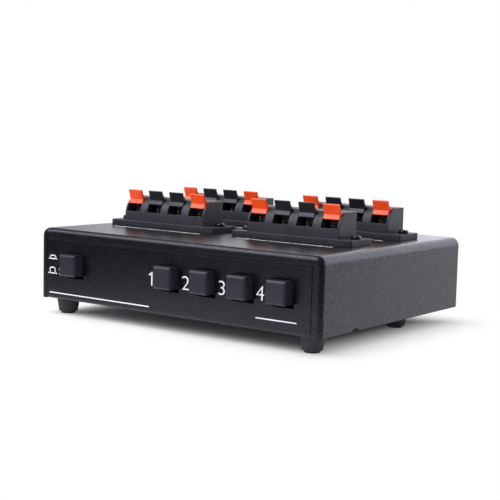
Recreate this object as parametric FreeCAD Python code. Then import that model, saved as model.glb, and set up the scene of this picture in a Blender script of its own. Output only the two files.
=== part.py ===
import FreeCAD, Part
import math
import os

from FreeCAD import Vector

os.makedirs("parts", exist_ok=True)

# Speaker selector switch. Millimetres. X runs along the front, Y from the front to the rear, Z up.
# The case is drawn about its own front edge: x = 0 in its middle, y = 0 on the cover's front lip,
# z = 0 under its floor. Every part is then moved so that the origin lies under the middle of the
# whole object, on the surface that it stands on.

# ---- case
CASE_W = 190.0
CASE_D = 145.5
CASE_H = 39.8
SHEET = 1.2
LIP_TOP = 5.5               # widths of the cover's lip round both panels
LIP_LEFT = 4.4
LIP_RIGHT = 5.5
SIDE_BEND = 4.5             # outer radius where the top turns into a side
LIP_BEND = 3.0              # outer radius where top and sides turn into the lip
SHEET_GAP = 0.05            # between sheets that lie on each other
RIM_FRONT = SHEET + SHEET_GAP    # the tray's panels have a rim that lies behind the cover's lip
RIM_HALF = 92.2
RIM_TOP = 36.8
RIM_CORNER = 5.3
FIELD_FRONT = 0.15          # and a field that is pressed forward into the lip's window
FIELD_X = (LIP_LEFT - CASE_W / 2 + 0.1, CASE_W / 2 - LIP_RIGHT - 0.4)
FIELD_TOP = CASE_H - LIP_TOP - 0.4
TRAY_BEND = 1.5
FLOOR_HALF = 93.6
FLOOR_INSET = 4.0
TAB_FRONT_Y = 31.8          # bent out of the side, which leaves a notch in its lower edge
TAB_REAR_Y = 112.0          # an angle welded to the inside of the side
TAB_WIDTH = 6.0
TAB_ANGLE_H = 7.0
TAB_REACH = 83.0
TAB_SCREW_X = 87.5
M3_HOLE = 3.0
M3_SHANK = 2.96
M3_CLEARANCE = 3.3
M3_HEAD = 5.5
M3_HEAD_H = 2.0
M3_HEAD_ROUND = 1.1
M3_RECESS_HALF = 1.5
M3_RECESS_SLOT = 0.6
M3_RECESS_DEPTH = 1.1
COVER_SCREW_LENGTH = 6.0

# ---- feet
FOOT_H = 9.0
FOOT_FRONT = (83.7, 10.8)
FOOT_REAR = (77.4, 104.5)
FOOT_TOP_R = 6.6
FOOT_STEP_R = 5.3
FOOT_BOTTOM_R = 4.0
FOOT_STEP_H = 1.2
FOOT_STEM_R = 2.5
FOOT_BARB_R = 3.2
FOOT_BARB_H = 3.0

# ---- push buttons and their switches
BUTTON_NAMES = ("source", "zone_1", "zone_2", "zone_3", "zone_4")
SOURCE_X = -68.8
ZONE_1_X = 0.05
ZONE_PITCH = 24.05
BUTTON_X = [SOURCE_X] + [ZONE_1_X + ZONE_PITCH * i for i in range(4)]
HOLE_SIDE = 14.1
HOLE_Z = 19.95
HOLE_CORNER = 0.5
BUTTON_Z = 20.55
CAP_SIDE = 11.8
CAP_FRONT = -6.5
CAP_REAR = 4.4
CAP_BEVEL = 0.9
CAP_WALL = 1.2
CAP_FACE = 1.5
CAP_BOSS = 6.0
CAP_BOSS_REAR = 3.4
STEM_SIDE = 3.6
STEM_FRONT = -4.1
SOCKET_GAP = 0.02
TRAVEL = 3.0
SWITCH_FRONT = 10.0
SWITCH_REAR = 34.0
SWITCH_HALF = 6.5
SWITCH_H = 10.5
CHAMBER_FRONT = 14.0
CHAMBER_REAR = 31.0
CHAMBER_R = 3.0
STEM_BORE = 3.7
PISTON_R = 2.9
PISTON_REAR = 20.0
PISTON_GAP = 0.05
SWITCH_SPRING_R = 2.2
SWITCH_SPRING_WIRE = 0.5
SWITCH_SPRING_TURNS = 6
PIN_R = 0.4
PIN_HOLE_R = 0.45
PIN_DROP = 1.3
PIN_X = 2.5
PIN_FIRST_Y = 12.0
PIN_PITCH = 4.0
PIN_ROWS = 6

# ---- circuit board
BOARD_TOP = 15.05
BOARD_T = 1.6
BOARD_HALF = 88.0
BOARD_FRONT = CAP_REAR + TRAVEL + 0.9
BOARD_SCREW_LENGTH = 6.0
BOARD_REAR = 47.0
STANDOFF_FLATS = 5.5
STANDOFF_THREAD_Z = 6.0
STANDOFF_PLACES = [(x, y) for x in (-83.0, -25.8, 83.0) for y in (20.0, 43.0)]
SPIGOT_R = 2.0
SPIGOT_GAP = 0.02

# ---- terminal blocks, drawn about the middle of their flange, z = 0 on the case's top
BLOCKS = {
    "front_left": (-45.6, 56.6),
    "front_right": (43.85, 56.6),
    "rear_left": (-45.6, 107.3),
    "rear_right": (43.85, 107.3),
}
FLANGE_HALF_W = 38.5
FLANGE_HALF_D = 10.4
FLANGE_H = 3.4
FLANGE_CORNER = 1.0
FLANGE_EDGE = 0.3
BODY_HALF = 29.6
BODY_FRONT = -8.4
BODY_REAR = 9.0
BODY_TOP = 17.1
BODY_EDGE = 0.4
BROW_Z = 6.5                # the front starts to lean back here
BROW_DEPTH = 8.8
LEVER_PITCH = 15.5
LEVER_X = [LEVER_PITCH * (i - 1.5) for i in range(4)]
SLOT_HALF = 5.1
CAVITY_FRONT = -6.7
CAVITY_REAR = 7.5
CAVITY_TOP = 15.5
MOUTH_Z = 8.6
MOUTH_REAR = -1.2
WALL_X = (-0.1, 5.1)        # wall with a window that guides the wire
WALL_Y = (-3.0, -1.9)
WALL_TOP = 12.9
WALL_WINDOW_X = (1.3, 3.7)
WALL_WINDOW_Z = (7.4, 9.8)
PIVOT_Y = 5.5
PIVOT_Z = 13.7
PIVOT_R = 1.1
PIVOT_BORE_R = 1.15
PIVOT_HALF = 5.85
PIVOT_BORE_HALF = 6.0
STAKE_X = 15.5
STAKE_Y = 3.0
STAKE_R = 1.2
STAKE_HOLE_R = 1.22
STAKE_HEAD_R = 1.8
STAKE_HEAD_H = 0.7
CUTOUT_HALF = 29.5
CUTOUT_FRONT = -8.1
CUTOUT_REAR = 8.9
BASE_T = 1.6
BASE_HALF = 29.2
BASE_FRONT = -7.8
BASE_REAR = 8.6
BLOCK_SCREW_X = 35.0
BLOCK_SCREW_LENGTH = 8.0
NUT_FLATS = 5.5
NUT_H = 2.4

# ---- levers, their springs and contacts, drawn about the lever's middle plane
LEVER_HALF = 4.95
LEVER_UNDER = 13.2
LEVER_NOSE = (-6.5, 13.6)
LEVER_KINK = (-5.6, 15.75)
LEVER_TIP_FRONT = (-7.35, 21.3)
LEVER_TIP_REAR = (-6.1, 21.4)
LEVER_TIP_R = 0.5
LEVER_SCOOP = (-4.7, 18.4)
LEVER_HEEL = (-1.6, 16.75)
LEVER_NECK_Z = 15.2
LEVER_EDGE = 0.25
TONGUE_X = (0.2, 4.7)
TONGUE_Y = (-1.6, -0.4)
TONGUE_Z = (5.5, 13.3)
TONGUE_WINDOW_X = (1.0, 4.0)
TONGUE_WINDOW_Z = (7.2, 10.4)
POCKET_FRONT = -3.5         # clears the housing's wall when the lever is down
POCKET_TOP = 14.9
SPRING_X = -2.1
SPRING_Y = -1.0
SPRING_R = 1.65
SPRING_WIRE = 0.5
SPRING_TURNS = 9
SPRING_BOSS_R = 1.0
SPRING_BOSS_H = 1.5
LEVER_BOSS_H = 0.8
CONTACT_X = 2.5
CONTACT_HALF = 2.1
CONTACT_Y = (1.35, 2.05)
CONTACT_TOP = 10.5
CONTACT_WINDOW_HALF = 1.4
CONTACT_WINDOW_Z = (6.2, 9.2)
TAIL_HALF = 1.4
TAIL_END = -8.0
TAIL_HOLE_R = 0.8
TAIL_HOLE_RISE = 2.2
TAIL_GAP = 0.05

# ---- wiring inside the case
WIRE_R = 0.8
WIRE_ON_BOARD = 15.87
FRONT_WIRE_REACH = 13.2
WIRE_COLOURS = {"red": (0, 3), "black": (1, 2)}

# ---- the object's own origin
TOTAL_FRONT = CAP_FRONT
TO_ORIGIN = Vector(0, -(TOTAL_FRONT + CASE_D) / 2, FOOT_H)

EPS = 0.001
AXIS = {"x": Vector(1, 0, 0), "y": Vector(0, 1, 0), "z": Vector(0, 0, 1)}


def box(x, y, z):
    """A block between the two limits given for each axis."""
    return Part.makeBox(x[1] - x[0], y[1] - y[0], z[1] - z[0], Vector(x[0], y[0], z[0]))


def rod(start, axis, length, radius):
    return Part.makeCylinder(radius, length, Vector(*start), AXIS[axis])


def hexagon(centre, z, flats):
    """A hexagonal prism between two heights."""
    corner = flats / 2 / math.cos(math.radians(30))
    points = []
    for i in range(7):
        angle = math.radians(60 * i)
        point = Vector(corner * math.cos(angle), corner * math.sin(angle), z[0])
        points.append(point + Vector(*centre, 0))
    return Part.Face(Part.makePolygon(points)).extrude(Vector(0, 0, z[1] - z[0]))


def cut(shape, tools):
    return shape.cut(Part.makeCompound(tools)) if tools else shape


def rounded(shape, radius, wanted):
    """Fillet every edge whose bounding box passes the test."""
    return shape.makeFillet(radius, [edge for edge in shape.Edges if wanted(edge.BoundBox)])


def save(name, shapes, offset=Vector(0, 0, 0)):
    """Write one node, moved to the object's own origin."""
    shape = shapes if isinstance(shapes, Part.Shape) else Part.makeCompound(shapes)
    shape = shape.copy()
    shape.translate(offset + TO_ORIGIN)
    if not shape.isValid():
        print("not valid:", name)
    shape.exportStep("parts/" + name + ".step")
    print(name, len(shape.Solids), "solids", round(shape.Volume, 1), "mm3")


def moved(shape, x, y, z=0.0):
    copy = shape.copy()
    copy.translate(Vector(x, y, z))
    return copy


def pan_screw(length, head_up=True):
    """An M3 screw with its head resting on z = 0 and a cross recess in the head."""
    head = Part.makeCylinder(M3_HEAD / 2, M3_HEAD_H)
    head = rounded(head, M3_HEAD_ROUND, lambda b: b.ZMin > M3_HEAD_H - EPS)
    depth = (M3_HEAD_H - M3_RECESS_DEPTH, M3_HEAD_H + 1)
    long = (-M3_RECESS_HALF, M3_RECESS_HALF)
    short = (-M3_RECESS_SLOT / 2, M3_RECESS_SLOT / 2)
    screw = cut(head, [box(long, short, depth), box(short, long, depth)])
    screw = screw.fuse(rod((0, 0, -length), "z", length, M3_SHANK / 2))
    if not head_up:
        screw.rotate(Vector(0, 0, 0), AXIS["x"], 180)
    return screw


def coil(radius, wire, height, turns):
    """A coil spring that stands on z = 0, with its ends just inside that height."""
    rise = height - 2 * wire
    helix = Part.makeHelix(rise / turns, rise, radius)
    section = Part.Wire(Part.Circle(Vector(radius, 0, 0), AXIS["y"], wire / 2).toShape())
    spring = Part.Wire(helix.Edges).makePipeShell([section], True, True)
    spring.translate(Vector(0, 0, wire))
    return spring


def wire_along(points, radius):
    """A round wire along straight runs that are joined by tangent arcs."""
    points = [Vector(*point) for point in points]
    edges = []
    radii = []
    last = points[0]
    for before, corner, after in zip(points, points[1:], points[2:]):
        to_corner = (corner - before).normalize()
        to_after = (after - corner).normalize()
        half_turn = to_corner.getAngle(to_after) / 2
        trim = 0.45 * min((corner - before).Length, (after - corner).Length)
        bend = trim / math.tan(half_turn)
        centre = corner + (to_after - to_corner).normalize() * (bend / math.cos(half_turn))
        start = corner - to_corner * trim
        end = corner + to_after * trim
        middle = centre + (corner - centre).normalize() * bend
        edges.append(Part.LineSegment(last, start).toShape())
        edges.append(Part.Arc(start, middle, end).toShape())
        radii.append(round(bend, 1))
        last = end
    edges.append(Part.LineSegment(last, points[-1]).toShape())
    path = Part.Wire(edges)
    section = Part.Wire(Part.Circle(points[0], points[1] - points[0], radius).toShape())
    tube = path.makePipeShell([section], True, False)
    ideal = math.pi * radius * radius * path.Length
    print("wire: radii", radii, "volume", round(tube.Volume, 1), "of", round(ideal, 1))
    return tube


# ---- case ---------------------------------------------------------------------------------------

def case_block(inset, bottom):
    """The case's outline, drawn in by one sheet's thickness for its inside."""
    side = CASE_W / 2 - inset
    top = CASE_H - inset
    front = inset
    rear = CASE_D - inset
    block = box((-side, side), (front, rear), (bottom, top))
    block = rounded(block, SIDE_BEND - inset, lambda b: b.YLength > CASE_D / 2 and b.ZMin > top - EPS)

    def at_an_end(b):
        on_end = b.YMax < front + EPS or b.YMin > rear - EPS
        return on_end and b.ZMax > bottom + EPS

    return rounded(block, LIP_BEND - inset, at_an_end)


def top_cover():
    inner = case_block(SHEET, -1.0)
    window = (LIP_LEFT - CASE_W / 2, CASE_W / 2 - LIP_RIGHT)
    tools = [box(window, (-1.0, CASE_D + 1.0), (-1.0, CASE_H - LIP_TOP))]
    through = (CASE_H - SHEET - 1.0, CASE_H + 1.0)
    for x, y in BLOCKS.values():
        tools.append(box((x - CUTOUT_HALF, x + CUTOUT_HALF), (y + CUTOUT_FRONT, y + CUTOUT_REAR), through))
        for side in (-1, 1):
            tools.append(rod((x + side * BLOCK_SCREW_X, y, through[0]), "z", 3.0, M3_CLEARANCE / 2))
    low = SHEET + SHEET_GAP
    wall = CASE_W / 2 - SHEET
    tabs = []
    for x, y in tab_screw_places():
        side = math.copysign(1, x)
        reach = (y - TAB_WIDTH / 2, y + TAB_WIDTH / 2)
        tab = box(sorted((side * TAB_REACH, side * (wall + 0.4))), reach, (low, low + SHEET))
        tabs.append(tab.cut(rod((x, y, low - 1.0), "z", 4.0, M3_HOLE / 2)))
        if y == TAB_FRONT_Y:
            outer = sorted((side * (wall - 0.5), side * (CASE_W / 2 + 1)))
            tools.append(box(outer, reach, (-1.0, low)))
        else:
            upright = sorted((side * (wall - SHEET), side * (wall + 0.4)))
            tabs.append(box(upright, reach, (low, low + TAB_ANGLE_H)))
    cover = case_block(0.0, 0.0).cut(inner)
    return cut(cover, tools).fuse(tabs).removeSplitter()


def tray_block(x, front, top):
    """A block as deep as the tray, with the tray's bends along its lower edges."""
    block = box(x, (front, CASE_D - front), (0, top))
    return rounded(block, TRAY_BEND, lambda b: b.XLength > CASE_W / 2 and b.ZMax < EPS)


def chassis_tray():
    rim = tray_block((-RIM_HALF, RIM_HALF), RIM_FRONT, RIM_TOP)
    rim = rounded(rim, RIM_CORNER, lambda b: b.YLength > CASE_D / 2 and b.ZMin > RIM_TOP - EPS)
    field = tray_block(FIELD_X, FIELD_FRONT, FIELD_TOP)
    behind_rim = RIM_FRONT + SHEET
    inside = box((-CASE_W, CASE_W), (behind_rim, CASE_D - behind_rim), (SHEET, CASE_H))
    behind_field = FIELD_FRONT + SHEET
    pocket_x = (FIELD_X[0] + SHEET, FIELD_X[1] - SHEET)
    pocket = box(pocket_x, (behind_field, CASE_D - behind_field), (SHEET, FIELD_TOP - SHEET))
    floor = box((-FLOOR_HALF, FLOOR_HALF), (FLOOR_INSET, CASE_D - FLOOR_INSET), (0, SHEET))
    tray = rim.fuse(field).cut(inside).cut(pocket).fuse(floor)
    tools = []
    for x in BUTTON_X:
        half = HOLE_SIDE / 2
        hole = box((x - half, x + half), (-1.0, 4.0), (HOLE_Z - half, HOLE_Z + half))
        tools.append(rounded(hole, HOLE_CORNER, lambda b: b.YLength > 1.0))
    for x, y in foot_places():
        tools.append(rod((x, y, -1.0), "z", 4.0, FOOT_STEM_R))
    for x, y in STANDOFF_PLACES:
        tools.append(rod((x, y, -1.0), "z", 4.0, SPIGOT_R + SPIGOT_GAP))
    for x, y in tab_screw_places():
        tools.append(rod((x, y, -1.0), "z", 4.0, M3_CLEARANCE / 2))
    return cut(tray, tools).removeSplitter()


def foot_places():
    return [(side * x, y) for side in (-1, 1) for x, y in (FOOT_FRONT, FOOT_REAR)]


def tab_screw_places():
    return [(side * TAB_SCREW_X, y) for side in (-1, 1) for y in (TAB_FRONT_Y, TAB_REAR_Y)]


def rubber_foot():
    """A tapered foot with a step at its bottom and a barbed stem through the floor."""
    outline = [
        (0, -FOOT_H), (FOOT_BOTTOM_R, -FOOT_H), (FOOT_BOTTOM_R, -FOOT_H + FOOT_STEP_H),
        (FOOT_STEP_R, -FOOT_H + FOOT_STEP_H), (FOOT_TOP_R, 0), (FOOT_STEM_R, 0),
        (FOOT_STEM_R, SHEET), (FOOT_BARB_R, SHEET), (FOOT_STEM_R - 0.8, SHEET + FOOT_BARB_H),
        (0, SHEET + FOOT_BARB_H), (0, -FOOT_H),
    ]
    wire = Part.makePolygon([Vector(r, 0, z) for r, z in outline])
    return Part.Face(wire).revolve(Vector(0, 0, 0), AXIS["z"], 360)


def make_case():
    save("top_cover", top_cover())
    save("chassis_tray", chassis_tray())
    foot = rubber_foot()
    save("rubber_feet", [moved(foot, x, y) for x, y in foot_places()])
    screw = pan_screw(COVER_SCREW_LENGTH, head_up=False)
    save("cover_screws", [moved(screw, x, y) for x, y in tab_screw_places()])


# ---- buttons, switches and their board ------------------------------------------------------------

def square_bar(side, y):
    half = side / 2
    return box((-half, half), y, (BUTTON_Z - half, BUTTON_Z + half))


def button_cap():
    """A hollow square cap with a bevelled face and a socket for the switch's stem."""
    shell = square_bar(CAP_SIDE, (CAP_FRONT, CAP_REAR))
    face = [edge for edge in shell.Edges if edge.BoundBox.YMax < CAP_FRONT + EPS]
    shell = shell.makeChamfer(CAP_BEVEL, face)
    shell = shell.cut(square_bar(CAP_SIDE - 2 * CAP_WALL, (CAP_FRONT + CAP_FACE, CAP_REAR + 1)))
    boss = square_bar(CAP_BOSS, (CAP_FRONT + CAP_FACE - 0.1, CAP_BOSS_REAR))
    socket = square_bar(STEM_SIDE + 2 * SOCKET_GAP, (STEM_FRONT - SOCKET_GAP, CAP_REAR + 1))
    return shell.fuse(boss).cut(socket).removeSplitter()


def plunger():
    stem = square_bar(STEM_SIDE, (STEM_FRONT, CHAMBER_FRONT + 1.0))
    piston_front = CHAMBER_FRONT + PISTON_GAP
    return stem.fuse(rod((0, piston_front, BUTTON_Z), "y", PISTON_REAR - piston_front, PISTON_R))


def switch_housing():
    body = box((-SWITCH_HALF, SWITCH_HALF), (SWITCH_FRONT, SWITCH_REAR), (BOARD_TOP, BOARD_TOP + SWITCH_H))
    chamber = rod((0, CHAMBER_FRONT, BUTTON_Z), "y", CHAMBER_REAR - CHAMBER_FRONT, CHAMBER_R)
    bore = square_bar(STEM_BORE, (SWITCH_FRONT - 1, CHAMBER_FRONT + 1))
    return cut(body, [chamber, bore])


def switch_spring():
    spring = coil(SWITCH_SPRING_R, SWITCH_SPRING_WIRE, CHAMBER_REAR - PISTON_REAR, SWITCH_SPRING_TURNS)
    spring.rotate(Vector(0, 0, 0), AXIS["x"], -90)
    return moved(spring, 0, PISTON_REAR, BUTTON_Z)


def pin_places():
    columns = (-PIN_X, PIN_X)
    rows = [PIN_FIRST_Y + PIN_PITCH * i for i in range(PIN_ROWS)]
    return [(centre + x, y) for centre in BUTTON_X for x in columns for y in rows]


def switch_board():
    board = box((-BOARD_HALF, BOARD_HALF), (BOARD_FRONT, BOARD_REAR), (BOARD_TOP - BOARD_T, BOARD_TOP))
    low = BOARD_TOP - BOARD_T - 1.0
    tools = [rod((x, y, low), "z", 4.0, PIN_HOLE_R) for x, y in pin_places()]
    tools += [rod((x, y, low), "z", 4.0, M3_CLEARANCE / 2) for x, y in STANDOFF_PLACES]
    return cut(board, tools)


def standoff():
    post = hexagon((0, 0), (SHEET, BOARD_TOP - BOARD_T), STANDOFF_FLATS)
    post = post.fuse(rod((0, 0, 0), "z", SHEET + 0.1, SPIGOT_R))
    return post.cut(rod((0, 0, STANDOFF_THREAD_Z), "z", 10.0, M3_HOLE / 2))


def make_switches():
    for name, x in zip(BUTTON_NAMES, BUTTON_X):
        save("button_cap_" + name, moved(button_cap(), x, 0))
        save("switch_plunger_" + name, moved(plunger(), x, 0))
    save("switch_housings", [moved(switch_housing(), x, 0) for x in BUTTON_X])
    save("switch_springs", [moved(switch_spring(), x, 0) for x in BUTTON_X])
    pin_low = BOARD_TOP - BOARD_T - PIN_DROP
    save("switch_pins", [rod((x, y, pin_low), "z", BOARD_TOP - pin_low, PIN_R) for x, y in pin_places()])
    save("switch_board", switch_board())
    save("board_standoffs", [moved(standoff(), x, y) for x, y in STANDOFF_PLACES])
    screw = pan_screw(BOARD_SCREW_LENGTH)
    save("board_screws", [moved(screw, x, y, BOARD_TOP) for x, y in STANDOFF_PLACES])


# ---- terminal blocks --------------------------------------------------------------------------------

def block_body():
    """The tall part of the moulding: its front leans back in an elliptic brow."""
    x = -BODY_HALF
    crown_y = BODY_FRONT + BROW_DEPTH
    brow_top = Vector(x, crown_y, BODY_TOP)
    brow_front = Vector(x, BODY_FRONT, BROW_Z)
    ellipse = Part.Ellipse(brow_top, brow_front, Vector(x, crown_y, BROW_Z))
    brow = Part.ArcOfEllipse(ellipse, 0, math.pi / 2).toShape()
    low_front = Vector(x, BODY_FRONT, FLANGE_H - 0.5)
    low_rear = Vector(x, BODY_REAR, FLANGE_H - 0.5)
    top_rear = Vector(x, BODY_REAR, BODY_TOP)
    edges = [
        brow,
        Part.LineSegment(brow_front, low_front).toShape(),
        Part.LineSegment(low_front, low_rear).toShape(),
        Part.LineSegment(low_rear, top_rear).toShape(),
        Part.LineSegment(top_rear, brow_top).toShape(),
    ]
    body = Part.Face(Part.Wire(edges)).extrude(Vector(2 * BODY_HALF, 0, 0))

    def at_an_end(b):
        return b.XLength < EPS and b.ZMax > FLANGE_H

    return rounded(body, BODY_EDGE, at_an_end)


def wire_wall(x):
    """The wall in front of a lever's tongue, with the window that the wire goes through."""
    wall = box((x + WALL_X[0], x + WALL_X[1] + 0.2), WALL_Y, (0, WALL_TOP))
    window = box([x + side for side in WALL_WINDOW_X], (WALL_Y[0] - 1, WALL_Y[1] + 1), WALL_WINDOW_Z)
    return wall.cut(window)


def terminal_housing():
    flange = box((-FLANGE_HALF_W, FLANGE_HALF_W), (-FLANGE_HALF_D, FLANGE_HALF_D), (0, FLANGE_H))
    flange = rounded(flange, FLANGE_CORNER, lambda b: b.ZLength > FLANGE_H - EPS)
    flange = rounded(flange, FLANGE_EDGE, lambda b: b.ZMin > FLANGE_H - EPS)
    housing = flange.fuse(block_body())
    tools = []
    for x in LEVER_X:
        slot = (x - SLOT_HALF, x + SLOT_HALF)
        tools.append(box(slot, (CAVITY_FRONT, CAVITY_REAR), (-0.1, CAVITY_TOP)))
        tools.append(box(slot, (BODY_FRONT - 2, MOUTH_REAR), (MOUTH_Z, BODY_TOP + 2)))
        bore = (x - PIVOT_BORE_HALF, PIVOT_Y, PIVOT_Z)
        tools.append(rod(bore, "x", 2 * PIVOT_BORE_HALF, PIVOT_BORE_R))
    for side in (-1, 1):
        tools.append(rod((side * BLOCK_SCREW_X, 0, -1.0), "z", FLANGE_H + 2, M3_CLEARANCE / 2))
    stakes = []
    for side in (-1, 1):
        place = (side * STAKE_X, STAKE_Y)
        stakes.append(rod((*place, -BASE_T - STAKE_HEAD_H), "z", BASE_T + STAKE_HEAD_H + 0.5, STAKE_R))
        stakes.append(rod((*place, -BASE_T - STAKE_HEAD_H), "z", STAKE_HEAD_H, STAKE_HEAD_R))
    walls = [wire_wall(x) for x in LEVER_X]
    return cut(housing, tools).fuse(stakes + walls).removeSplitter()


def terminal_base():
    """The board under the moulding, with slots for the tails and a boss for each spring."""
    base = box((-BASE_HALF, BASE_HALF), (BASE_FRONT, BASE_REAR), (-BASE_T, 0))
    tools = [rod((side * STAKE_X, STAKE_Y, -BASE_T - 1), "z", 4.0, STAKE_HOLE_R) for side in (-1, 1)]
    bosses = []
    for x in LEVER_X:
        middle = x + CONTACT_X
        half = TAIL_HALF + TAIL_GAP
        y = (CONTACT_Y[0] - TAIL_GAP, CONTACT_Y[1] + TAIL_GAP)
        tools.append(box((middle - half, middle + half), y, (-BASE_T - 1, 1)))
        bosses.append(rod((x + SPRING_X, SPRING_Y, -0.1), "z", SPRING_BOSS_H + 0.1, SPRING_BOSS_R))
    return cut(base, tools).fuse(bosses).removeSplitter()


def contact():
    """A brass plate on the base with a window for the wire, and a solder tail below."""
    plate = box((-CONTACT_HALF, CONTACT_HALF), CONTACT_Y, (0, CONTACT_TOP))
    tail = box((-TAIL_HALF, TAIL_HALF), CONTACT_Y, (TAIL_END, 0.1))
    window = box((-CONTACT_WINDOW_HALF, CONTACT_WINDOW_HALF), (0, 4), CONTACT_WINDOW_Z)
    hole = rod((0, 0, TAIL_END + TAIL_HOLE_RISE), "y", 4.0, TAIL_HOLE_R)
    return cut(plate.fuse(tail), [window, hole]).removeSplitter()


def lever():
    """One push lever: a thumb tab, a nose over the wire's way, a pivot and a tongue."""
    def line(start, end):
        return Part.LineSegment(Vector(-LEVER_HALF, *start), Vector(-LEVER_HALF, *end)).toShape()

    def arc(start, middle, end):
        return Part.Arc(*[Vector(-LEVER_HALF, *place) for place in (start, middle, end)]).toShape()

    round_r = LEVER_NECK_Z - PIVOT_Z
    meet_y = PIVOT_Y - math.sqrt(round_r ** 2 - (PIVOT_Z - LEVER_UNDER) ** 2)
    chin = (LEVER_NOSE[0], LEVER_UNDER)
    under = (meet_y, LEVER_UNDER)
    over = (PIVOT_Y, LEVER_NECK_Z)
    step = (LEVER_HEEL[0], LEVER_NECK_Z)
    outline = Part.Wire([
        line(chin, under),
        arc(under, (PIVOT_Y + round_r, PIVOT_Z), over),
        line(over, step),
        line(step, LEVER_HEEL),
        arc(LEVER_HEEL, LEVER_SCOOP, LEVER_TIP_REAR),
        line(LEVER_TIP_REAR, LEVER_TIP_FRONT),
        line(LEVER_TIP_FRONT, LEVER_KINK),
        line(LEVER_KINK, LEVER_NOSE),
        line(LEVER_NOSE, chin),
    ])
    body = Part.Face(outline).extrude(Vector(2 * LEVER_HALF, 0, 0))
    body = rounded(body, LEVER_TIP_R, lambda b: b.XLength > LEVER_HALF and b.ZMax > LEVER_TIP_FRONT[1] - EPS)

    def on_tab_side(b):
        return b.XLength < EPS and b.YMin < LEVER_HEEL[0] - EPS and b.ZMax > LEVER_NECK_Z

    body = rounded(body, LEVER_EDGE, on_tab_side)
    pivot = rod((-PIVOT_HALF, PIVOT_Y, PIVOT_Z), "x", 2 * PIVOT_HALF, PIVOT_R)
    tongue = box(TONGUE_X, TONGUE_Y, TONGUE_Z)
    boss = rod((SPRING_X, SPRING_Y, LEVER_UNDER - LEVER_BOSS_H), "z", LEVER_BOSS_H + 0.1, SPRING_BOSS_R)
    window = box(TONGUE_WINDOW_X, (TONGUE_Y[0] - 1, TONGUE_Y[1] + 1), TONGUE_WINDOW_Z)
    pocket = box((WALL_X[0] - 0.2, CASE_W), (POCKET_FRONT, TONGUE_Y[0]), (LEVER_UNDER - 1, POCKET_TOP))
    return cut(body.fuse([pivot, tongue, boss]), [window, pocket]).removeSplitter()


def make_blocks():
    housing = terminal_housing()
    base = terminal_base()
    spring = moved(coil(SPRING_R, SPRING_WIRE, LEVER_UNDER, SPRING_TURNS), SPRING_X, SPRING_Y)
    for name, (x, y) in BLOCKS.items():
        place = Vector(x, y, CASE_H)
        save("terminal_housing_" + name, housing, place)
        save("terminal_base_" + name, base, place)
        save("terminal_contacts_" + name, [moved(contact(), at + CONTACT_X, 0) for at in LEVER_X], place)
        save("lever_springs_" + name, [moved(spring, at, 0) for at in LEVER_X], place)
        for number, at in enumerate(LEVER_X, 1):
            save("lever_" + name + "_" + str(number), moved(lever(), at, 0), place)
    screws = []
    nuts = []
    nut = hexagon((0, 0), (-SHEET - NUT_H, -SHEET), NUT_FLATS)
    nut = nut.cut(rod((0, 0, -9.0), "z", 9.0, M3_HOLE / 2))
    screw = pan_screw(BLOCK_SCREW_LENGTH)
    for centre, y in BLOCKS.values():
        for x in (centre - BLOCK_SCREW_X, centre + BLOCK_SCREW_X):
            screws.append(moved(screw, x, y, CASE_H + FLANGE_H))
            nuts.append(moved(nut, x, y, CASE_H))
    save("terminal_screws", screws)
    save("terminal_nuts", nuts)


# ---- wiring from the contacts' tails to the board ---------------------------------------------------

def front_wire(x, y):
    top = CASE_H + TAIL_END
    points = [(x, y, top), (x, y, WIRE_ON_BOARD), (x, y - FRONT_WIRE_REACH, WIRE_ON_BOARD)]
    return wire_along(points, WIRE_R)


def rear_wire(x, y):
    """From the rear block down to the floor, under the front wires and up onto the board."""
    top = CASE_H + TAIL_END
    points = [
        (x, y, top), (x, y, 6.0), (x + 1.8, 80.0, 4.5),
        (x + 3.6, 60.0, 6.0), (x + 3.6, 53.0, WIRE_ON_BOARD), (x + 3.6, 40.0, WIRE_ON_BOARD),
    ]
    return wire_along(points, WIRE_R)


def make_wiring():
    tail_y = sum(CONTACT_Y) / 2
    for row, maker in (("front", front_wire), ("rear", rear_wire)):
        for colour, positions in WIRE_COLOURS.items():
            wires = []
            for block in ("left", "right"):
                x, y = BLOCKS[row + "_" + block]
                wires += [maker(x + LEVER_X[i] + CONTACT_X, y + tail_y) for i in positions]
            save("wires_" + row + "_" + colour, wires)


make_case()
make_switches()
make_blocks()
make_wiring()
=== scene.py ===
import math

import bmesh
import bpy
from mathutils import Euler, Matrix, Vector


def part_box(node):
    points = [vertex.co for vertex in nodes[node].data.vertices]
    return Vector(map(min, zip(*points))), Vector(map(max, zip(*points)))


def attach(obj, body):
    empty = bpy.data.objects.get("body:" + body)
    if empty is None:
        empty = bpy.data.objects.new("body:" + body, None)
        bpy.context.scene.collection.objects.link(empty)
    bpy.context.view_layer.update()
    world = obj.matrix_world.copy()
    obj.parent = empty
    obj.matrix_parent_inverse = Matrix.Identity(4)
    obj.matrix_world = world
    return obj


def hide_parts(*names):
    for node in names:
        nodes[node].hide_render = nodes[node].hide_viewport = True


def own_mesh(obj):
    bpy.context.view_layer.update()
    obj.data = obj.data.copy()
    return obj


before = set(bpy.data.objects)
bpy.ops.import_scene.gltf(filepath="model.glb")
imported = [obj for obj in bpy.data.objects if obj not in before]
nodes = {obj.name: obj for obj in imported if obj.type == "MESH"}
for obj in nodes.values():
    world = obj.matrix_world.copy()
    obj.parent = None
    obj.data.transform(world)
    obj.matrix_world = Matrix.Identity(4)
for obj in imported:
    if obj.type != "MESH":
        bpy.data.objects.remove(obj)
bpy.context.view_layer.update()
MM = 0.001

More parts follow.
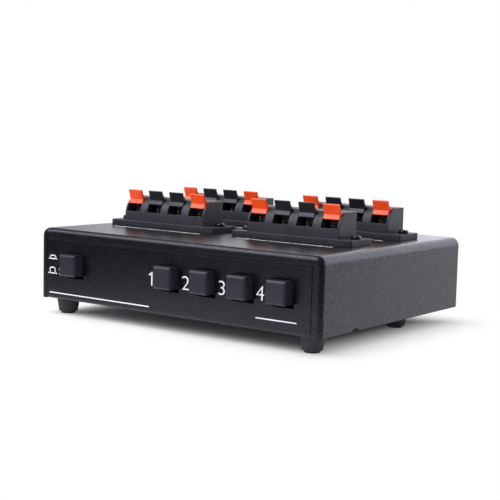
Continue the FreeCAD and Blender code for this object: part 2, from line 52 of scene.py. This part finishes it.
# ---- Camera -----------------------------------------------------------------------------------------
# A long lens on a low tripod, in front of the case's right half and turned towards its middle.
# It leans by a degree and a half.
CAMERA_PLACE = (0.38945, -0.53014, 0.11006)
CAMERA_TURN = math.radians(36.21)
CAMERA_DOWN = math.radians(6.17)
CAMERA_LEAN = math.radians(1.55)
FOCAL_LENGTH = 83.69
SENSOR = 36.0

camera_data = bpy.data.cameras.new("studio_camera")
camera_data.sensor_fit = "HORIZONTAL"
camera_data.sensor_width = SENSOR
camera_data.lens = FOCAL_LENGTH
camera_data.clip_start = 0.01
camera = bpy.data.objects.new("studio_camera", camera_data)
bpy.context.collection.objects.link(camera)
aim = Euler((math.pi / 2 - CAMERA_DOWN, 0.0, CAMERA_TURN)).to_matrix()
lean = Matrix.Rotation(CAMERA_LEAN, 3, "Z")
camera.location = CAMERA_PLACE
camera.rotation_euler = (aim @ lean).to_euler()
bpy.context.scene.camera = camera
bpy.context.scene.view_settings.view_transform = "Standard"

# ---- Floor and light --------------------------------------------------------------------------------
# A white sheet under the case runs out into a low white wall behind it, and the rest of the room is
# dim. One large soft box stands high on the left in front.
FLOOR_SIZE = 12.0
FLOOR_WHITE = 0.86
WHITE = (1.0, 1.0, 1.0, 1.0)
CASE_MIDDLE = (-0.003, 0.000, 0.0)
CASE_HALF = (0.095, 0.073, 10.0)
WHITE_SPAN = (-0.026, 0.030)  # the floor's painted glow takes over from the lit paper between these distances from the case's sides, lightening the case's shadow there
SHEET_MIDDLE = (0.05, 0.0, 0.0)
SHEET_SLANT = 0.75           # how much sooner the sheet ends for each metre to either side
SHEET_END = (0.17, 0.42)     # gloss sees the sheet end between these distances in front
SHEET_CORNER = (1.0, -0.6, 0.0)
CORNER_END = (0.15, 0.28)    # and between these towards the right-hand corner in front
SHEET_DIM = 0.08             # what gloss sees beyond the sheet
ROOM_SIDE = (-0.70, -0.71, 0.0)
ROOM_LIGHT = (0.0, 1.65)     # the room's strength away from that side and from it
ROOM_DARK = 0.12             # what gloss shows of the room beside and above the wall
WALL_LIGHT = 2.1             # and of the wall
COOL_WHITE = (0.97, 0.98, 1.04, 1.0)
WALL_SIDE = (0.17, 0.985, 0.0)
WALL_EDGE = (0.45, 0.70)     # how far round the wall fades out, as a cosine
WALL_HEIGHT = (0.45, 0.85)   # how high up it fades out, as a sine
KEY_PLACE = (-0.56, -0.56, 0.95)
KEY_SIZE = 1.0
KEY_WATTS = 10.5


def link(tree, source, target):
    tree.links.new(source, target)


def new_node(tree, kind, **inputs):
    """A shader node with its unlinked inputs set by name."""
    node = tree.nodes.new(kind)
    for name, value in inputs.items():
        node.inputs[name.replace("_", " ")].default_value = value
    return node


def feed(tree, node, values):
    """Link each value that is a socket to the node's inputs, and set the others."""
    for socket, value in zip(node.inputs, values):
        if isinstance(value, bpy.types.NodeSocket):
            link(tree, value, socket)
        else:
            socket.default_value = value


def math_node(tree, operation, first, second, clamp=True):
    node = tree.nodes.new("ShaderNodeMath")
    node.operation = operation
    node.use_clamp = clamp
    feed(tree, node, (first, second))
    return node.outputs[0]


def vector_node(tree, operation, *values, output="Vector"):
    node = tree.nodes.new("ShaderNodeVectorMath")
    node.operation = operation
    feed(tree, node, values)
    return node.outputs[output]


def remap(tree, value, span, result=(0.0, 1.0), shape="LINEAR"):
    """A value that lies in span, moved to the span of the result."""
    node = tree.nodes.new("ShaderNodeMapRange")
    node.interpolation_type = shape
    node.inputs["From Min"].default_value = span[0]
    node.inputs["From Max"].default_value = span[1]
    node.inputs["To Min"].default_value = result[0]
    node.inputs["To Max"].default_value = result[1]
    link(tree, value, node.inputs["Value"])
    return node.outputs["Result"]


def mix_shaders(tree, factor, first, second):
    node = tree.nodes.new("ShaderNodeMixShader")
    link(tree, factor, node.inputs["Fac"])
    link(tree, first.outputs[0], node.inputs[1])
    link(tree, second.outputs[0], node.inputs[2])
    return node


floor_mesh = bpy.data.meshes.new("floor")
floor_bm = bmesh.new()
bmesh.ops.create_grid(floor_bm, x_segments=1, y_segments=1, size=FLOOR_SIZE / 2)
floor_bm.to_mesh(floor_mesh)
floor_bm.free()
floor = bpy.data.objects.new("floor", floor_mesh)
bpy.context.collection.objects.link(floor)

floor_paper = bpy.data.materials.new("floor_paper")
floor_paper.use_nodes = True
tree = floor_paper.node_tree
tree.nodes.clear()
paper = new_node(tree, "ShaderNodeBsdfDiffuse", Color=(FLOOR_WHITE, FLOOR_WHITE, FLOOR_WHITE, 1.0))
painted_glow = new_node(tree, "ShaderNodeEmission", Color=WHITE, Strength=1.0)
place = tree.nodes.new("ShaderNodeTexCoord").outputs["Object"]
offset = vector_node(tree, "SUBTRACT", place, CASE_MIDDLE)
offset = vector_node(tree, "ABSOLUTE", offset)
offset = vector_node(tree, "SUBTRACT", offset, CASE_HALF)
beyond = vector_node(tree, "MAXIMUM", offset, (0.0, 0.0, 0.0))
outside = vector_node(tree, "LENGTH", beyond, output="Value")
parts = new_node(tree, "ShaderNodeSeparateXYZ")
link(tree, offset, parts.inputs[0])
nearest = math_node(tree, "MAXIMUM", parts.outputs["X"], parts.outputs["Y"], clamp=False)
inside = math_node(tree, "MINIMUM", nearest, 0.0, clamp=False)
distance = math_node(tree, "ADD", outside, inside, clamp=False)
# Painted light: an emission glow, mixed into the lit paper by distance from the case's sides, lifts the floor
# to plain white and lightens the case's shadow near it.
painted_glow_share = remap(tree, distance, WHITE_SPAN, shape="SMOOTHSTEP")
path = tree.nodes.new("ShaderNodeLightPath")
seen = math_node(tree, "ADD", path.outputs["Is Camera Ray"], path.outputs["Is Glossy Ray"])
seen = math_node(tree, "ADD", seen, path.outputs["Is Transmission Ray"])
parts = new_node(tree, "ShaderNodeSeparateXYZ")
link(tree, vector_node(tree, "SUBTRACT", place, SHEET_MIDDLE), parts.inputs[0])
across = math_node(tree, "ABSOLUTE", parts.outputs["X"], 0.0, clamp=False)
across = math_node(tree, "MULTIPLY", across, SHEET_SLANT, clamp=False)
forward = math_node(tree, "SUBTRACT", across, parts.outputs["Y"], clamp=False)
sheet = remap(tree, forward, SHEET_END, (1.0, SHEET_DIM), "SMOOTHSTEP")
rightward = vector_node(tree, "DOT_PRODUCT", place, SHEET_CORNER, output="Value")
corner = remap(tree, rightward, CORNER_END, (1.0, SHEET_DIM), "SMOOTHSTEP")
sheet = math_node(tree, "MINIMUM", sheet, corner)
plain = math_node(tree, "SUBTRACT", 1.0, path.outputs["Is Glossy Ray"])
link(tree, math_node(tree, "MAXIMUM", sheet, plain), painted_glow.inputs["Strength"])
finish = mix_shaders(tree, math_node(tree, "MULTIPLY", painted_glow_share, seen), paper, painted_glow)
link(tree, finish.outputs[0], tree.nodes.new("ShaderNodeOutputMaterial").inputs["Surface"])
floor_mesh.materials.append(floor_paper)

world = bpy.data.worlds.new("studio")
world.use_nodes = True
tree = world.node_tree
tree.nodes.clear()
room = new_node(tree, "ShaderNodeBackground", Color=COOL_WHITE)
wall = new_node(tree, "ShaderNodeBackground", Color=COOL_WHITE)
background = new_node(tree, "ShaderNodeBackground", Color=WHITE, Strength=1.0)
direction = tree.nodes.new("ShaderNodeTexCoord").outputs["Generated"]
side = vector_node(tree, "DOT_PRODUCT", direction, WALL_SIDE, output="Value")
height = tree.nodes.new("ShaderNodeSeparateXYZ")
link(tree, direction, height.inputs[0])
fill = vector_node(tree, "DOT_PRODUCT", direction, ROOM_SIDE, output="Value")
link(tree, remap(tree, fill, (-1.0, 1.0), ROOM_LIGHT), room.inputs["Strength"])
around = remap(tree, side, WALL_EDGE, shape="SMOOTHSTEP")
below = remap(tree, height.outputs["Z"], WALL_HEIGHT, (1.0, 0.0), "SMOOTHSTEP")
shine = remap(tree, math_node(tree, "MULTIPLY", around, below), (0.0, 1.0), (ROOM_DARK, WALL_LIGHT))
link(tree, shine, wall.inputs["Strength"])
path = tree.nodes.new("ShaderNodeLightPath")
plain = math_node(tree, "ADD", path.outputs["Is Camera Ray"], path.outputs["Is Transmission Ray"])
lit = mix_shaders(tree, path.outputs["Is Glossy Ray"], room, wall)
sky = mix_shaders(tree, plain, lit, background)
link(tree, sky.outputs[0], tree.nodes.new("ShaderNodeOutputWorld").inputs["Surface"])
bpy.context.scene.world = world

key_data = bpy.data.lights.new("key_box", "AREA")
key_data.size = KEY_SIZE
key_data.energy = KEY_WATTS
key = bpy.data.objects.new("key_box", key_data)
key.location = KEY_PLACE
key.rotation_euler = Vector(KEY_PLACE).to_track_quat("Z", "Y").to_euler()
bpy.context.collection.objects.link(key)

# ---- Steel cover and tray ---------------------------------------------------------------------------
# Both are bent from 1.2 mm steel sheet and powder coated in black. The coat has a fine orange-peel
# skin, which breaks up the light along the bends.
COAT_BLACK = (0.0022, 0.0024, 0.0030)
COAT_GREY = (0.0042, 0.0045, 0.0055)
COVER_COAT = (0.32, 0.60)    # roughness and gloss
TRAY_COAT = (0.26, 0.60)
COAT_PEEL = 0.9 * MM
COAT_PEEL_DEPTH = 0.09 * MM
COAT_SPECKLE = 0.45          # how far the gloss varies from grain to grain
COAT_EDGE = 0.45 * MM
GLOSS_TINT = (0.84, 0.85, 1.0, 1.0)
PATCH = 9.0 * MM             # size of the patches of the two tones
PATCH_SPAN = (0.35, 0.70)    # of the patches' noise, from the first tone to the second
GRAIN_SPAN = (0.3, 0.7)      # of the grain's noise, from the dullest to the glossiest
PAINTED_SHADE_SPAN = (0.25, 0.60)   # shares of open view below which painted shade makes a hollow black and plain, and above which it adds none


def surface(name, colours, roughness, grain, depth, edge, spread=0.06, level=0.6, painted_shade_size=0.0, speckle=0.0):
    """A finish with two mixed tones, a grain that moves the light, and softened edges.

    Grain, depth and edge are the grain's size, its height and the edges' radius. Spread is how far
    the roughness varies, and speckle how far the gloss does, from its level. Where a size for painted
    shade is given, painted shade darkens the colour and dulls the gloss inside hollows of about that
    size.
    """
    material = bpy.data.materials.new(name)
    material.use_nodes = True
    tree = material.node_tree
    shader = tree.nodes["Principled BSDF"]
    shader.inputs["Specular IOR Level"].default_value = level
    shader.inputs["Specular Tint"].default_value = GLOSS_TINT
    place = tree.nodes.new("ShaderNodeTexCoord")
    patches = new_node(tree, "ShaderNodeTexNoise", Scale=1.0 / PATCH, Detail=4.0, Roughness=0.6)
    link(tree, place.outputs["Object"], patches.inputs["Vector"])
    ramp = tree.nodes.new("ShaderNodeValToRGB")
    for stop, position, tone in zip(ramp.color_ramp.elements, PATCH_SPAN, colours):
        stop.position = position
        stop.color = (*tone, 1.0)
    link(tree, patches.outputs["Fac"], ramp.inputs["Fac"])
    colour = ramp.outputs["Color"]
    # Painted shade: ambient occlusion darkens the colour and takes the gloss away inside hollows.
    if painted_shade_size:
        painted_shade_ao = new_node(tree, "ShaderNodeAmbientOcclusion", Distance=painted_shade_size)
        painted_shade_ao.samples = 6
        unshaded_share = remap(tree, painted_shade_ao.outputs["AO"], PAINTED_SHADE_SPAN)
        painted_shade_colour = new_node(tree, "ShaderNodeVectorMath")
        painted_shade_colour.operation = "SCALE"
        link(tree, colour, painted_shade_colour.inputs[0])
        link(tree, unshaded_share, painted_shade_colour.inputs["Scale"])
        colour = painted_shade_colour.outputs["Vector"]
        link(tree, remap(tree, unshaded_share, (0.0, 1.0), (0.0, level)), shader.inputs["Specular IOR Level"])
    link(tree, colour, shader.inputs["Base Color"])
    rough = remap(tree, patches.outputs["Fac"], (0.0, 1.0), (roughness - spread, roughness + spread))
    link(tree, rough, shader.inputs["Roughness"])
    peel = new_node(tree, "ShaderNodeTexNoise", Scale=1.0 / grain, Detail=3.0, Roughness=0.55)
    link(tree, place.outputs["Object"], peel.inputs["Vector"])
    bevel = new_node(tree, "ShaderNodeBevel", Radius=edge)
    bevel.samples = 4
    if speckle:
        glints = (level * (1.0 - speckle), level * (1.0 + speckle))
        gloss_level = remap(tree, peel.outputs["Fac"], GRAIN_SPAN, glints)
        link(tree, gloss_level, shader.inputs["Specular IOR Level"])
    bump = new_node(tree, "ShaderNodeBump", Strength=1.0, Distance=depth)
    link(tree, peel.outputs["Fac"], bump.inputs["Height"])
    link(tree, bevel.outputs["Normal"], bump.inputs["Normal"])
    link(tree, bump.outputs["Normal"], shader.inputs["Normal"])
    return material


def dress(material, *names):
    """Give CAD nodes their finish."""
    for name in names:
        for material_slot in nodes[name].material_slots:
            material_slot.material = material


for sheet_part, (roughness, gloss) in (("top_cover", COVER_COAT), ("chassis_tray", TRAY_COAT)):
    powder_coat = surface(
        "powder_coat_" + sheet_part, (COAT_BLACK, COAT_GREY), roughness, grain=COAT_PEEL,
        depth=COAT_PEEL_DEPTH, edge=COAT_EDGE, level=gloss, speckle=COAT_SPECKLE
    )
    dress(powder_coat, sheet_part)

# ---- White prints on the front panel and on the top --------------------------------------------------
# Screen-printed marks in white ink: a numeral beside each zone button, the two signs for a button
# that is in and out, plain rules, and plus and minus signs in front of the terminals.
INK = 0.02 * MM
INK_WHITE = (0.86, 0.86, 0.88)
INK_WORN = (0.78, 0.78, 0.80)
PANEL_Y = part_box("chassis_tray")[0][1]
CASE_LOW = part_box("top_cover")[0][2]
TOP_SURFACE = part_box("top_cover")[1][2]
NUMERAL_HEIGHT = 7.25
NUMERAL_WIDTHS = {"2": 5.0, "3": 4.1, "4": 4.8}
NUMERAL_FOOT = 14.95
NUMERAL_OFFSETS = {"1": 12.7, "2": 12.65, "3": 13.15, "4": 13.25}
NUMERAL_LINE = 0.85
NUMERAL_THINNING = -0.012    # of the type's own size
STEM_OFFSET = 1.0            # the 1's stem stands right of its middle
FLAG_LENGTH = 2.4
FLAG_DROPS = (1.55, 0.75)    # from the 1's head down to its flag's edges
FLAG_TURN = math.radians(36)

ink = surface(
    "white_ink", (INK_WHITE, INK_WORN), roughness=0.55, grain=0.3 * MM, depth=0.004 * MM, edge=0.01 * MM
)


def add_piece(name, mesh, material, body):
    """Put a finished mesh in the scene, riding on a body."""
    mesh.materials.clear()
    mesh.materials.append(material)
    piece = bpy.data.objects.new(name, mesh)
    bpy.context.collection.objects.link(piece)
    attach(piece, body)
    return piece


def numeral_mesh(character, width):
    """One character as a mesh in the panel's plane, its foot at z = 0 and its middle at x = 0."""
    curve = bpy.data.curves.new("numeral_" + character, "FONT")
    curve.body = character
    curve.extrude = 0.5
    curve.offset = NUMERAL_THINNING
    holder = bpy.data.objects.new("numeral_holder", curve)
    bpy.context.collection.objects.link(holder)
    bpy.context.view_layer.update()
    mesh = bpy.data.meshes.new_from_object(holder)
    bpy.data.objects.remove(holder)
    xs = [vertex.co.x for vertex in mesh.vertices]
    ys = [vertex.co.y for vertex in mesh.vertices]
    centre = Matrix.Translation((-(min(xs) + max(xs)) / 2, -min(ys), 0.0))
    across = width * MM / (max(xs) - min(xs))
    up = NUMERAL_HEIGHT * MM / (max(ys) - min(ys))
    scale = Matrix.Diagonal((across, up, INK, 1.0))
    mesh.transform(Matrix.Rotation(math.pi / 2, 4, "X") @ scale @ centre)
    return mesh


def bar(bm, x, y, z, turn=0.0):
    """One bar of ink between two limits on each axis, turned about its own middle."""
    size = Vector((x[1] - x[0], y[1] - y[0], z[1] - z[0]))
    middle = Vector((x[1] + x[0], y[1] + y[0], z[1] + z[0])) / 2
    place = Matrix.Translation(middle) @ Matrix.Rotation(-turn, 4, "Y") @ Matrix.Diagonal((*size, 1.0))
    bmesh.ops.create_cube(bm, size=1.0, matrix=place)


def on_panel(x, z, turn=0.0):
    """A bar on the front panel; x and z in millimetres, z from the case's underside."""
    across = (x[0] * MM, x[1] * MM)
    up = (CASE_LOW + z[0] * MM, CASE_LOW + z[1] * MM)
    return (across, (PANEL_Y - INK, PANEL_Y + INK), up, turn)


def on_top(x, y):
    """A bar on the case's top; x and y in millimetres."""
    return ((x[0] * MM, x[1] * MM), (y[0] * MM, y[1] * MM), (TOP_SURFACE - INK, TOP_SURFACE + INK))


def print_piece(name, bars):
    """One print made of bars of ink."""
    bm = bmesh.new()
    for limits in bars:
        bar(bm, *limits)
    mesh = bpy.data.meshes.new(name)
    bm.to_mesh(mesh)
    bm.free()
    return add_piece(name, mesh, ink, "case")


for number in ("1", "2", "3", "4"):
    low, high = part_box("button_cap_zone_" + number)
    middle = (low[0] + high[0]) / 2 / MM - NUMERAL_OFFSETS[number]
    if number == "1":
        head = NUMERAL_FOOT + NUMERAL_HEIGHT
        stem = middle + STEM_OFFSET
        flag = (middle - FLAG_LENGTH / 2, middle + FLAG_LENGTH / 2)
        bars = [
            on_panel((stem - NUMERAL_LINE / 2, stem + NUMERAL_LINE / 2), (NUMERAL_FOOT, head)),
            on_panel(flag, (head - FLAG_DROPS[0], head - FLAG_DROPS[1]), FLAG_TURN),
        ]
        print_piece("numeral_1", bars)
        continue
    mesh = numeral_mesh(number, NUMERAL_WIDTHS[number])
    mesh.transform(Matrix.Translation((middle * MM, PANEL_Y, CASE_LOW + NUMERAL_FOOT * MM)))
    add_piece("numeral_" + number, mesh, ink, "case")

LINE = 0.6
DOT = 0.75
DOTS_LEFT = -80.85
DOTS_FEET = (14.16, 16.60)


def button_sign(name, left, right, foot, head, inset):
    """A box on a base line: low for a button that is in, tall for one that is out."""
    bars = [
        on_panel((left, right), (foot, foot + LINE)),
        on_panel((left + inset, left + inset + LINE), (foot, head)),
        on_panel((right - inset - LINE, right - inset), (foot, head)),
        on_panel((left + inset, right - inset), (head - LINE, head)),
    ]
    print_piece(name, bars)


button_sign("sign_button_in", left=-88.9, right=-82.4, foot=22.35, head=24.8, inset=0.8)
button_sign("sign_button_out", left=-89.4, right=-82.5, foot=14.15, head=17.95, inset=1.15)
print_piece("sign_dots", [on_panel((DOTS_LEFT, DOTS_LEFT + DOT), (foot, foot + DOT)) for foot in DOTS_FEET])
print_piece("rule_left", [on_panel(x=(-88.2, -13.4), z=(3.15, 3.75))])
print_piece("rule_right", [on_panel(x=(56.6, 81.0), z=(5.75, 6.35))])

LEVER_PITCH = 15.5
LEVER_PLACES = [LEVER_PITCH * (i - 1.5) for i in range(4)]
RULE_GAP = 5.8
RULE_REACH = 31.0
SIGN_WIDTH = 3.2
SIGN_DEPTH = 4.2             # deeper than wide, so that a plus looks square from low in front
SIGN_LINE = 1.4
LINK_GAP = 2.4
LONGER_RULE = 2.5            # the front left rule runs on to the right

BLOCKS = ("front_left", "front_right", "rear_left", "rear_right")

for block in BLOCKS:
    low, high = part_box("terminal_housing_" + block)
    middle = (low[0] + high[0]) / 2 / MM
    row = low[1] / MM - RULE_GAP
    half = SIGN_LINE / 2
    across = SIGN_WIDTH / 2
    reach = SIGN_DEPTH / 2
    bars = []
    for i, offset in enumerate(LEVER_PLACES):
        x = middle + offset
        bars.append(on_top((x - across, x + across), (row - half, row + half)))
        if i in (0, 3):
            bars.append(on_top((x - half, x + half), (row + half, row + reach)))
            bars.append(on_top((x - half, x + half), (row - reach, row - half)))
    right_end = RULE_REACH + (LONGER_RULE if block == "front_left" else 0.0)
    ends = [-RULE_REACH - LINK_GAP, *LEVER_PLACES, right_end + LINK_GAP]
    for start, end in zip(ends, ends[1:]):
        bars.append(on_top((middle + start + LINK_GAP, middle + end - LINK_GAP), (row - half, row + half)))
    print_piece("signs_" + block, bars)

# ---- Button caps ------------------------------------------------------------------------------------
# Square caps moulded in black ABS with a fine satin face. Each is pressed on its switch's stem and
# stands through a hole in the front panel.
BUTTONS = ("source", "zone_1", "zone_2", "zone_3", "zone_4")
CAP_TONES = ((0.021, 0.022, 0.027), (0.028, 0.029, 0.035))
cap_plastic = surface(
    "cap_plastic", CAP_TONES, roughness=0.32, grain=0.25 * MM, depth=0.010 * MM, edge=0.20 * MM, level=0.35
)
dress(cap_plastic, *["button_cap_" + button for button in BUTTONS])

# ---- Switches ---------------------------------------------------------------------------------------
# Five latching switches in natural nylon bodies with white stems, soldered to a green board, which
# stands on the tray's floor.
NYLON_TONES = ((0.70, 0.68, 0.60), (0.76, 0.74, 0.67))
nylon = surface("switch_nylon", NYLON_TONES, roughness=0.45, grain=0.4 * MM, depth=0.006 * MM, edge=0.2 * MM)
dress(nylon, "switch_housings", *["switch_plunger_" + button for button in BUTTONS])
BOARD_TONES = ((0.02, 0.13, 0.05), (0.03, 0.16, 0.06))
laminate = surface(
    "board_laminate", BOARD_TONES, roughness=0.35, grain=0.5 * MM, depth=0.01 * MM, edge=0.1 * MM
)
dress(laminate, "switch_board")

# ---- Terminal housings ------------------------------------------------------------------------------
# Each block is one black moulding with a satin, slightly mottled skin, screwed down by its flange. A
# board of brown phenolic closes it from below.
HOUSING_TONES = ((0.025, 0.026, 0.030), (0.033, 0.034, 0.039))
PHENOLIC_TONES = ((0.22, 0.11, 0.05), (0.28, 0.15, 0.07))
# Painted shade darkens the housings inside their hollows, such as the wire mouths, and dulls their gloss
# there.
housing_plastic = surface(
    "housing_plastic", HOUSING_TONES, roughness=0.50, grain=0.35 * MM, depth=0.012 * MM, edge=0.3 * MM,
    painted_shade_size=8.0 * MM
)
dress(housing_plastic, *["terminal_housing_" + block for block in BLOCKS])
phenolic = surface("phenolic", PHENOLIC_TONES, roughness=0.55, grain=0.5 * MM, depth=0.01 * MM, edge=0.1 * MM)
dress(phenolic, *["terminal_base_" + block for block in BLOCKS])

# ---- Levers -----------------------------------------------------------------------------------------
# Push levers moulded in glossy plastic, four to a block: the outer two are red, the inner two black.
# Each turns on trunnions in its housing. Light goes a little way into the red ones.
RED_TONES = ((0.99, 0.090, 0.010), (1.0, 0.105, 0.014))
RED_SHARE = 0.6              # of the light that goes into the red plastic
RED_SPREAD = (1.0, 0.25, 0.08)
RED_DEPTH = 2.0 * MM         # how far it spreads there
BLACK_TONES = ((0.008, 0.009, 0.010), (0.012, 0.013, 0.015))
red_plastic = surface(
    "red_lever_plastic", RED_TONES, roughness=0.30, grain=0.5 * MM, depth=0.006 * MM, edge=0.3 * MM
)
black_plastic = surface(
    "black_lever_plastic", BLACK_TONES, roughness=0.30, grain=0.5 * MM, depth=0.006 * MM, edge=0.3 * MM
)
red_shader = red_plastic.node_tree.nodes["Principled BSDF"]
red_shader.inputs["Subsurface Weight"].default_value = RED_SHARE
red_shader.inputs["Subsurface Radius"].default_value = RED_SPREAD
red_shader.inputs["Subsurface Scale"].default_value = RED_DEPTH
for block in BLOCKS:
    dress(red_plastic, "lever_%s_1" % block, "lever_%s_4" % block)
    dress(black_plastic, "lever_%s_2" % block, "lever_%s_3" % block)

# ---- Metal parts ------------------------------------------------------------------------------------
# Brass contacts under the levers, zinc-plated fasteners and pins inside, and black oxide screws
# outside.
BRASS_TONES = ((0.66, 0.47, 0.20), (0.74, 0.55, 0.26))
ZINC_TONES = ((0.50, 0.51, 0.52), (0.62, 0.63, 0.63))
OXIDE_TONES = ((0.07, 0.07, 0.075), (0.11, 0.11, 0.115))
METAL_SPREAD = 0.08


def metal(name, colours, roughness, grain, depth, edge):
    """A bare or plated metal finish."""
    material = surface(name, colours, roughness, grain, depth, edge, spread=METAL_SPREAD)
    material.node_tree.nodes["Principled BSDF"].inputs["Metallic"].default_value = 1.0
    return material


brass = metal("brass_strip", BRASS_TONES, roughness=0.28, grain=0.4 * MM, depth=0.004 * MM, edge=0.1 * MM)
dress(brass, *["terminal_contacts_" + block for block in BLOCKS])
zinc = metal("zinc_plate", ZINC_TONES, roughness=0.35, grain=0.3 * MM, depth=0.006 * MM, edge=0.1 * MM)
dress(zinc, "board_standoffs", "board_screws", "switch_pins", "terminal_nuts")
black_oxide = metal(
    "black_oxide", OXIDE_TONES, roughness=0.22, grain=0.3 * MM, depth=0.006 * MM, edge=0.15 * MM
)
dress(black_oxide, "terminal_screws", "cover_screws")

# ---- Springs ----------------------------------------------------------------------------------------
# Coils of bright wire, one behind each switch's stem and one under each lever. Each is a piece of its own.
COIL_REACH = 3.5 * MM        # from a coil's middle to beyond its side
SAME_POINT = 0.001 * MM
SPRING_TONES = ((0.55, 0.54, 0.52), (0.66, 0.65, 0.63))
spring_wire = metal(
    "spring_wire", SPRING_TONES, roughness=0.25, grain=0.2 * MM, depth=0.004 * MM, edge=0.05 * MM
)


def spring_piece(name, source, x):
    """The coil of the source node that stands at x, as a piece of its own."""
    coil = bmesh.new()
    coil.from_mesh(nodes[source].data)
    others = [vertex for vertex in coil.verts if abs(vertex.co.x - x) > COIL_REACH]
    bmesh.ops.delete(coil, geom=others, context="VERTS")
    bmesh.ops.remove_doubles(coil, verts=coil.verts, dist=SAME_POINT)
    mesh = bpy.data.meshes.new(name)
    coil.to_mesh(mesh)
    coil.free()
    piece = add_piece(name, mesh, spring_wire, "case")
    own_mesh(piece)
    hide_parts(source)


low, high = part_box("switch_springs")
for button in BUTTONS:
    cap_low, cap_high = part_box("button_cap_" + button)
    x = (cap_low[0] + cap_high[0]) / 2
    spring_piece(
        "spring_" + button, "switch_springs", x,
    )
for block in BLOCKS:
    source = "lever_springs_" + block
    low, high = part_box(source)
    for number, offset in enumerate(LEVER_PLACES, 1):
        x = (low[0] + high[0]) / 2 + offset * MM
        ending = "%s_%d" % (block, number)
        spring_piece(
            "spring_" + ending, source, x,
        )

# ---- Feet -------------------------------------------------------------------------------------------
# Push-in feet of black rubber, matt with a faint bloom. Their barbed stems hold them in the tray's
# floor.
RUBBER_TONES = ((0.022, 0.022, 0.023), (0.034, 0.034, 0.035))
rubber = surface("foot_rubber", RUBBER_TONES, roughness=0.70, grain=0.5 * MM, depth=0.02 * MM, edge=0.3 * MM)
dress(rubber, "rubber_feet")

# ---- Wires inside the case --------------------------------------------------------------------------
# Stranded wires in red and black PVC, soldered to the contacts' tails and to the board.
SLEEVE_TONES = {
    "red": ((0.55, 0.03, 0.02), (0.62, 0.04, 0.03)),
    "black": ((0.02, 0.02, 0.02), (0.03, 0.03, 0.03)),
}
for colour, tones in SLEEVE_TONES.items():
    sleeve = surface(
        colour + "_sleeve", tones, roughness=0.40, grain=0.4 * MM, depth=0.006 * MM, edge=0.1 * MM
    )
    dress(sleeve, "wires_front_" + colour, "wires_rear_" + colour)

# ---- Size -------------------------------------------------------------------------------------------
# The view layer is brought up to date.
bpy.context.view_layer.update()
